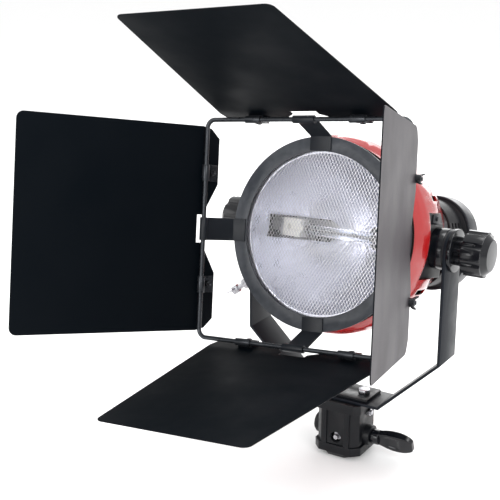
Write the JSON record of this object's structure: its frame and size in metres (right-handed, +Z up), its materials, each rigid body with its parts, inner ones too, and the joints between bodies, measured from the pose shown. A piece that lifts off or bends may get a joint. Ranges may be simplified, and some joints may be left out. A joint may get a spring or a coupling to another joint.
{
  "type": "open-face halogen location light",
  "caption": "Open-face halogen location light with a red shell, a wire guard, a turning barndoor with four leaves, a tilting yoke and a stand adapter.",
  "frame": {"origin": "mouth of the stand socket, on the socket's axis", "axes": "+Z up along the stand socket, -Y towards the side the beam leaves, +X towards the lock lever"},
  "size_m": [0.3534, 0.4421, 0.4737],
  "materials": {
    "yoke_paint": "satin grey paint",
    "adapter_cast": "dark satin paint on a casting",
    "zinc_hardware": "bright zinc plate",
    "black_hardware": "black oxide",
    "black_plastic": "glossy black moulding",
    "red_shell": "glossy red moulding",
    "cowl_black": "fine-textured black moulding",
    "rim_grey": "dark grey satin",
    "plate_black": "satin black paint",
    "guard_wire": "bright expanded steel",
    "reflector_bright": "bright dimpled aluminium",
    "bare_aluminium": "bare sheet",
    "brass": "turned",
    "ceramic": "unglazed off-white steatite",
    "quartz": "clear fused quartz",
    "tungsten": "drawn wire",
    "ring_grey": "satin grey anodised",
    "rod_steel": "plated rod",
    "strap_black": "satin black paint",
    "leaf_black": "satin black paint"
  },
  "bodies": {
    "yoke": {"yoke": "yoke_paint", "base_plate": "adapter_cast", "base_bolts": "zinc_hardware", "stand_adapter": "adapter_cast", "boss_cap": "black_plastic", "adapter_screw": "zinc_hardware", "index_pin": "zinc_hardware", "outer_washers": "black_plastic"},
    "lock_lever": {"lock_lever": "black_plastic", "lock_screw": "zinc_hardware"},
    "head": {"shell": "red_shell", "front_collar": "plate_black", "guard_mesh": "guard_wire", "guard_retainer": "guard_wire", "reflector": "reflector_bright", "side_plate_left": "plate_black", "side_plate_right": "plate_black", "pivot_hubs": "black_plastic", "pivot_bolts": "zinc_hardware", "friction_washers": "plate_black", "rear_cowl": "cowl_black", "rear_rim": "rim_grey", "chassis": "bare_aluminium", "guide_rods": "zinc_hardware", "terminal_block": "ceramic", "cable_gland": "black_plastic", "recess_brackets": "rim_grey", "cowl_screws": "zinc_hardware"},
    "tilt_knob_left": {"tilt_knob_left": "black_plastic"},
    "tilt_knob_right": {"tilt_knob_right": "black_plastic"},
    "lamp_carriage": {"lamp_carriage": "bare_aluminium", "socket_left": "ceramic", "socket_right": "ceramic", "lamp_tube": "quartz", "lamp_filament": "tungsten", "lead_nut": "brass"},
    "focus_drive": {"focus_knob": "black_plastic", "lead_screw": "zinc_hardware"},
    "barndoor": {"door_ring": "ring_grey", "strap_right": "strap_black", "strap_top": "strap_black", "strap_left": "strap_black", "strap_bottom": "strap_black", "rod_frame": "rod_steel", "latch_collar": "zinc_hardware"},
    "latch_screw": {"latch_screw": "zinc_hardware"},
    "leaf_right": {"leaf_right": "leaf_black", "clips_right": "rod_steel", "fasteners_right": "black_hardware"},
    "leaf_top": {"leaf_top": "leaf_black", "clips_top": "rod_steel", "fasteners_top": "black_hardware"},
    "leaf_left": {"leaf_left": "leaf_black", "clips_left": "rod_steel", "fasteners_left": "black_hardware"},
    "leaf_bottom": {"leaf_bottom": "leaf_black", "clips_bottom": "rod_steel", "fasteners_bottom": "black_hardware"}
  },
  "joints": [
    {"name": "head_tilt", "type": "hinge", "parent": "yoke", "child": "head", "pos_m": [0, 0, 0.236], "axis": [-1, 0, 0], "range_deg": [-43, 75]},
    {"name": "tilt_knob_right_turn", "type": "hinge", "parent": "head", "child": "tilt_knob_right", "pos_m": [0.13, 0, 0.236], "axis": [1, 0, 0], "range_deg": [0, 360]},
    {"name": "tilt_knob_left_turn", "type": "hinge", "parent": "head", "child": "tilt_knob_left", "pos_m": [-0.13, 0, 0.236], "axis": [-1, 0, 0], "range_deg": [0, 360]},
    {"name": "lock_lever_turn", "type": "hinge", "parent": "yoke", "child": "lock_lever", "pos_m": [0.04, 0, 0.022], "axis": [1, 0, 0], "range_deg": [0, 360]},
    {"name": "barndoor_turn", "type": "hinge", "parent": "head", "child": "barndoor", "pos_m": [0, -0.07308, 0.25287], "axis": [0, -0.9744, 0.225], "continuous": true},
    {"name": "latch_turn", "type": "hinge", "parent": "barndoor", "child": "latch_screw", "pos_m": [-0.0788, -0.07913, 0.19108], "axis": [-0.788, -0.1385, -0.5999], "range_deg": [0, 360]},
    {"name": "focus_knob_turn", "type": "hinge", "parent": "head", "child": "focus_drive", "pos_m": [0, 0.09931, 0.19049], "axis": [0, -0.9744, 0.225], "range_deg": [-241, 301]},
    {"name": "lamp_focus", "type": "slide", "parent": "head", "child": "lamp_carriage", "axis": [0, -0.9744, 0.225], "range_m": [-0.01, 0.008]},
    {"name": "leaf_right_swing", "type": "hinge", "parent": "barndoor", "child": "leaf_right", "pos_m": [0.1046, -0.1061, 0.26989], "axis": [0.0872, -0.2241, -0.9707], "range_deg": [-74, 106]},
    {"name": "leaf_top_swing", "type": "hinge", "parent": "barndoor", "child": "leaf_top", "pos_m": [-0.00915, -0.08463, 0.36289], "axis": [0.9962, 0.0196, 0.0849], "range_deg": [-73, 107]},
    {"name": "leaf_left_swing", "type": "hinge", "parent": "barndoor", "child": "leaf_left", "pos_m": [-0.1046, -0.11021, 0.25205], "axis": [0.0872, -0.2241, -0.9707], "range_deg": [-109, 71]},
    {"name": "leaf_bottom_swing", "type": "hinge", "parent": "barndoor", "child": "leaf_bottom", "pos_m": [0.00915, -0.13168, 0.15905], "axis": [0.9962, 0.0196, 0.0849], "range_deg": [-102, 78]}
  ],
  "couplings": [
    {"joint": "focus_knob_turn", "follows": "lamp_focus", "rad_per_m": -523.6}
  ]
}
